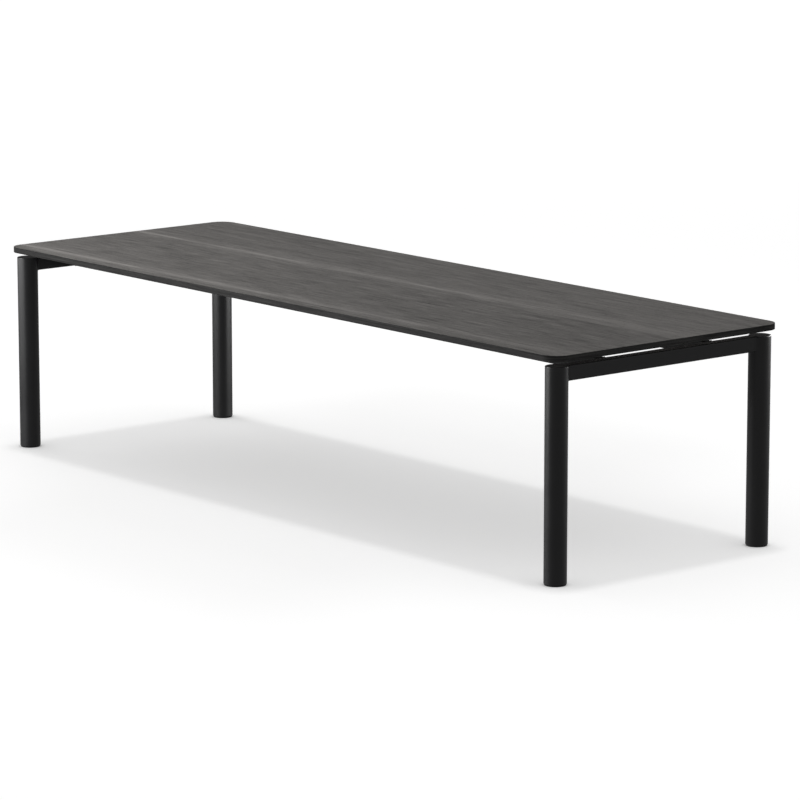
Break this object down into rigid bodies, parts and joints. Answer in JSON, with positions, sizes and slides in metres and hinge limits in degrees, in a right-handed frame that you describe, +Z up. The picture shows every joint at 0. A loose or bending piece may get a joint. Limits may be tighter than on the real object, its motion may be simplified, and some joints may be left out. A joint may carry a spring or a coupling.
{
  "type": "dining table",
  "caption": "Long dining table with a thin dark oak top that floats on spacers over a black tube frame with round legs and levelling feet.",
  "frame": {"origin": "on the floor, under the middle of the top", "axes": "+X along the length, +Y across the width, +Z up"},
  "size_m": [3, 1, 0.745],
  "materials": {
    "oak_veneer": "black-stained oak veneer, open grain, matt lacquer",
    "oak_edge": "black-stained oak edge band, matt lacquer",
    "core_board": "raw fibreboard",
    "frame_coat": "black powder coat, fine satin texture",
    "foot_plastic": "black moulded nylon",
    "spacer_plastic": "black moulded nylon",
    "zinc_steel": "bright zinc-plated steel",
    "insert_brass": "turned brass"
  },
  "bodies": {
    "table": {"tabletop_core": "core_board", "face_veneer": "oak_veneer", "backing_veneer": "oak_veneer", "edge_band": "oak_edge", "leg_tube_front_left": "frame_coat", "leg_cap_front_left": "frame_coat", "leg_plug_front_left": "foot_plastic", "foot_insert_front_left": "insert_brass", "end_plate_front_left": "frame_coat", "leg_tube_front_right": "frame_coat", "leg_cap_front_right": "frame_coat", "leg_plug_front_right": "foot_plastic", "foot_insert_front_right": "insert_brass", "end_plate_front_right": "frame_coat", "leg_tube_back_left": "frame_coat", "leg_cap_back_left": "frame_coat", "leg_plug_back_left": "foot_plastic", "foot_insert_back_left": "insert_brass", "end_plate_back_left": "frame_coat", "leg_tube_back_right": "frame_coat", "leg_cap_back_right": "frame_coat", "leg_plug_back_right": "foot_plastic", "foot_insert_back_right": "insert_brass", "end_plate_back_right": "frame_coat", "end_rail_left": "frame_coat", "end_rail_right": "frame_coat", "long_beam_front": "frame_coat", "long_beam_back": "frame_coat", "spacer_front_1": "spacer_plastic", "spacer_front_2": "spacer_plastic", "spacer_front_3": "spacer_plastic", "spacer_front_4": "spacer_plastic", "spacer_front_5": "spacer_plastic", "spacer_back_1": "spacer_plastic", "spacer_back_2": "spacer_plastic", "spacer_back_3": "spacer_plastic", "spacer_back_4": "spacer_plastic", "spacer_back_5": "spacer_plastic", "beam_bolts": "zinc_steel", "beam_washers": "zinc_steel", "rivet_nuts": "zinc_steel", "top_screws": "zinc_steel", "top_washers": "zinc_steel", "top_inserts": "insert_brass"},
    "pad_front_left": {"foot_pad_front_left": "foot_plastic"},
    "stem_front_left": {"foot_stem_front_left": "zinc_steel"},
    "pad_front_right": {"foot_pad_front_right": "foot_plastic"},
    "stem_front_right": {"foot_stem_front_right": "zinc_steel"},
    "pad_back_left": {"foot_pad_back_left": "foot_plastic"},
    "stem_back_left": {"foot_stem_back_left": "zinc_steel"},
    "pad_back_right": {"foot_pad_back_right": "foot_plastic"},
    "stem_back_right": {"foot_stem_back_right": "zinc_steel"}
  },
  "joints": [
    {"name": "foot_height_front_left", "type": "slide", "parent": "table", "child": "pad_front_left", "axis": [0, 0, -1], "range_m": [0, 0.012]},
    {"name": "foot_screw_front_left", "type": "hinge", "parent": "pad_front_left", "child": "stem_front_left", "pos_m": [-1.45, -0.446, 0], "axis": [0, 0, -1], "range_deg": [0, 2880]},
    {"name": "foot_height_front_right", "type": "slide", "parent": "table", "child": "pad_front_right", "axis": [0, 0, -1], "range_m": [0, 0.012]},
    {"name": "foot_screw_front_right", "type": "hinge", "parent": "pad_front_right", "child": "stem_front_right", "pos_m": [1.45, -0.446, 0], "axis": [0, 0, -1], "range_deg": [0, 2880]},
    {"name": "foot_height_back_left", "type": "slide", "parent": "table", "child": "pad_back_left", "axis": [0, 0, -1], "range_m": [0, 0.012]},
    {"name": "foot_screw_back_left", "type": "hinge", "parent": "pad_back_left", "child": "stem_back_left", "pos_m": [-1.45, 0.446, 0], "axis": [0, 0, -1], "range_deg": [0, 2880]},
    {"name": "foot_height_back_right", "type": "slide", "parent": "table", "child": "pad_back_right", "axis": [0, 0, -1], "range_m": [0, 0.012]},
    {"name": "foot_screw_back_right", "type": "hinge", "parent": "pad_back_right", "child": "stem_back_right", "pos_m": [1.45, 0.446, 0], "axis": [0, 0, -1], "range_deg": [0, 2880]}
  ],
  "couplings": [
    {"joint": "foot_screw_front_left", "follows": "foot_height_front_left", "rad_per_m": 4188.8},
    {"joint": "foot_screw_front_right", "follows": "foot_height_front_right", "rad_per_m": 4188.8},
    {"joint": "foot_screw_back_left", "follows": "foot_height_back_left", "rad_per_m": 4188.8},
    {"joint": "foot_screw_back_right", "follows": "foot_height_back_right", "rad_per_m": 4188.8}
  ]
}
